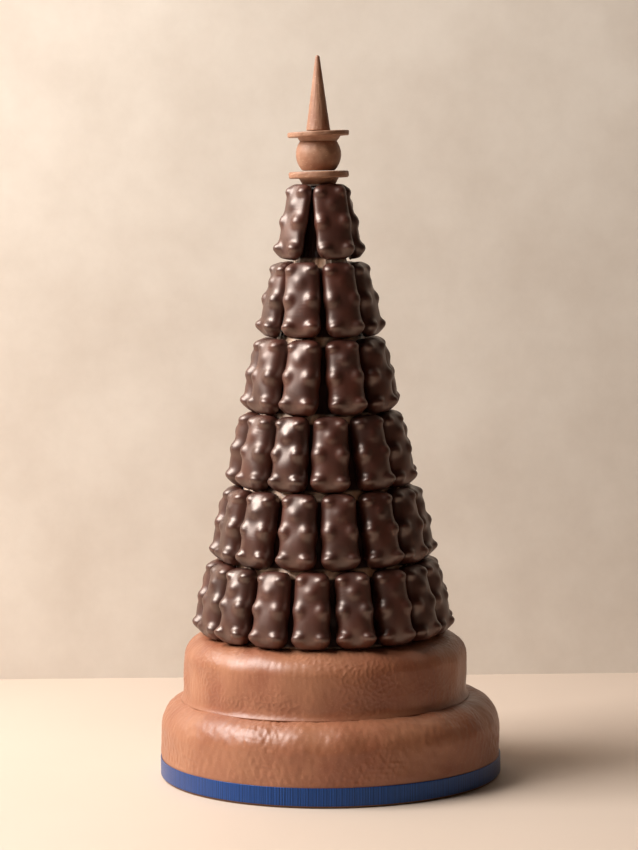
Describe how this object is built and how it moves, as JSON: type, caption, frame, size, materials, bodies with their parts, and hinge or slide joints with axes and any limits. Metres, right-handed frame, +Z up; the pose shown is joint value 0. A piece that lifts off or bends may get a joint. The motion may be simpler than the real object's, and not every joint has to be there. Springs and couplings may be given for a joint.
{
  "type": "marshmallow bear pyramid",
  "caption": "Festive tower of chocolate-coated marshmallow bears ringed round a milk chocolate cone, on stacked chocolate drums with a ribbon and a turned finial.",
  "frame": {"origin": "centre of the underside of the round board the tower stands on", "axes": "+Z up the tower, -Y towards the side the picture shows, +X to its right"},
  "size_m": [0.2414, 0.2414, 0.506],
  "materials": {
    "milk_chocolate_coat": "poured milk chocolate coat, satin, with fine ripples",
    "pale_chocolate_coat": "pale milk chocolate, spooned on, glossy where it ran",
    "milk_chocolate_matt": "moulded milk chocolate, matt and finely mottled",
    "dark_chocolate_coat": "enrobed dark chocolate, satin gloss with soft ripples",
    "ribbon": "woven ribbed ribbon, bare of print",
    "cake_board": "thin pressed card, cut edge"
  },
  "bodies": {
    "root": {"cake_board": "cake_board", "ribbon": "ribbon", "lower_tier": "milk_chocolate_coat", "upper_tier": "milk_chocolate_coat", "cone_core": "pale_chocolate_coat", "bear_1_1": "dark_chocolate_coat", "bear_1_2": "dark_chocolate_coat", "bear_1_3": "dark_chocolate_coat", "bears_1_back_1": "dark_chocolate_coat", "bear_2_1": "dark_chocolate_coat", "bear_2_2": "dark_chocolate_coat", "bear_2_3": "dark_chocolate_coat", "bear_2_4": "dark_chocolate_coat", "bears_2_back_1": "dark_chocolate_coat", "bears_2_back_2": "dark_chocolate_coat", "bear_3_1": "dark_chocolate_coat", "bear_3_2": "dark_chocolate_coat", "bear_3_3": "dark_chocolate_coat", "bear_3_4": "dark_chocolate_coat", "bear_3_5": "dark_chocolate_coat", "bear_3_6": "dark_chocolate_coat", "bears_3_back_1": "dark_chocolate_coat", "bears_3_back_2": "dark_chocolate_coat", "bear_4_1": "dark_chocolate_coat", "bear_4_2": "dark_chocolate_coat", "bear_4_3": "dark_chocolate_coat", "bear_4_4": "dark_chocolate_coat", "bear_4_5": "dark_chocolate_coat", "bear_4_6": "dark_chocolate_coat", "bear_4_7": "dark_chocolate_coat", "bears_4_back_1": "dark_chocolate_coat", "bears_4_back_2": "dark_chocolate_coat", "bear_5_1": "dark_chocolate_coat", "bear_5_2": "dark_chocolate_coat", "bear_5_3": "dark_chocolate_coat", "bear_5_4": "dark_chocolate_coat", "bear_5_5": "dark_chocolate_coat", "bear_5_6": "dark_chocolate_coat", "bear_5_7": "dark_chocolate_coat", "bear_5_8": "dark_chocolate_coat", "bears_5_back_1": "dark_chocolate_coat", "bears_5_back_2": "dark_chocolate_coat", "bear_6_1": "dark_chocolate_coat", "bear_6_2": "dark_chocolate_coat", "bear_6_3": "dark_chocolate_coat", "bear_6_4": "dark_chocolate_coat", "bear_6_5": "dark_chocolate_coat", "bear_6_6": "dark_chocolate_coat", "bear_6_7": "dark_chocolate_coat", "bear_6_8": "dark_chocolate_coat", "bear_6_9": "dark_chocolate_coat", "bear_6_10": "dark_chocolate_coat", "bears_6_back_1": "dark_chocolate_coat", "bears_6_back_2": "dark_chocolate_coat", "finial_collar": "milk_chocolate_matt", "finial_lower_disc": "milk_chocolate_matt", "finial_upper_disc": "milk_chocolate_matt", "finial_ball": "milk_chocolate_matt", "finial_socket": "milk_chocolate_matt", "finial_spike": "milk_chocolate_matt"}
  },
  "joints": []
}
